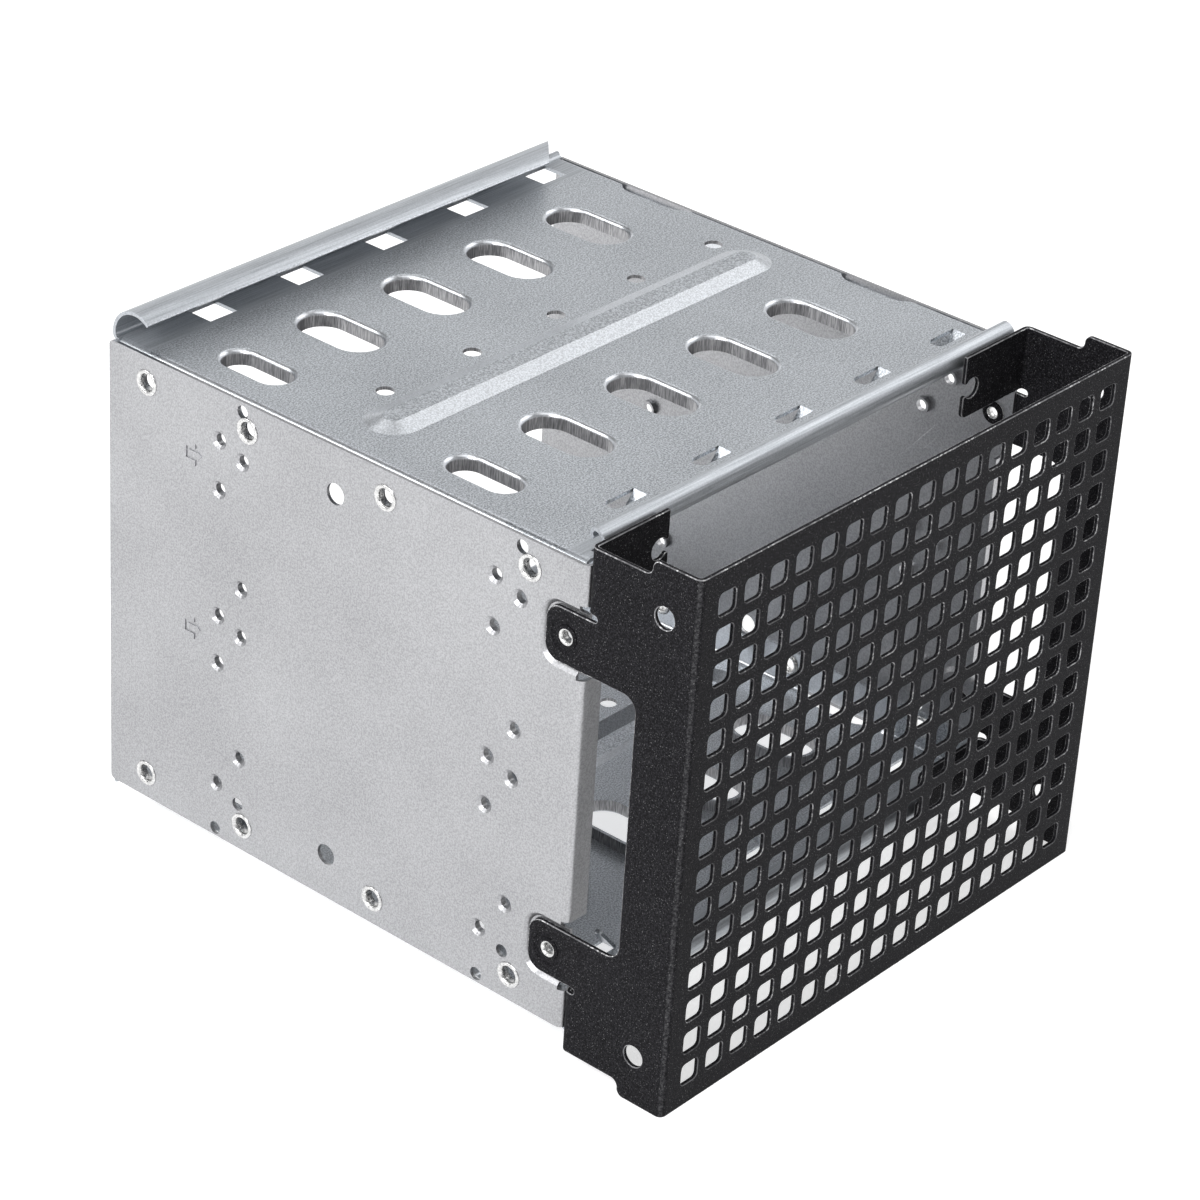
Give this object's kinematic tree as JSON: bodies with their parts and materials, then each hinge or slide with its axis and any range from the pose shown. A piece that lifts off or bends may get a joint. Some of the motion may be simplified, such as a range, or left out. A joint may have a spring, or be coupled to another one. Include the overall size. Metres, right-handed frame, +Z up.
{
  "type": "hot swap drive cage",
  "caption": "Open sheet-steel cage that holds 3.5 inch drives on edge in stacked 5.25 inch bays, with a square-hole grille bezel and fan mounts",
  "frame": {"origin": "centre of the bounding box in X and Y, at the lowest edge of the bezel in Z", "axes": "+Z up, -Y out of the grille bezel at the front, +Y to the open rear, +X to the right as seen from the front"},
  "size_m": [0.1466, 0.1658, 0.1284],
  "materials": {
    "galvanised_steel": "satin galvanised",
    "black_powder_coat": "fine-textured black powder coat",
    "rivet_steel": "bright steel"
  },
  "bodies": {
    "root": {"top_plate": "galvanised_steel", "bottom_plate": "galvanised_steel", "left_side_panel": "galvanised_steel", "right_side_panel": "galvanised_steel", "front_bezel": "black_powder_coat", "left_upper_rivets": "rivet_steel", "left_lower_rivets": "rivet_steel", "right_upper_rivets": "rivet_steel", "right_lower_rivets": "rivet_steel", "left_bezel_rivets": "rivet_steel", "right_bezel_rivets": "rivet_steel"}
  },
  "joints": []
}
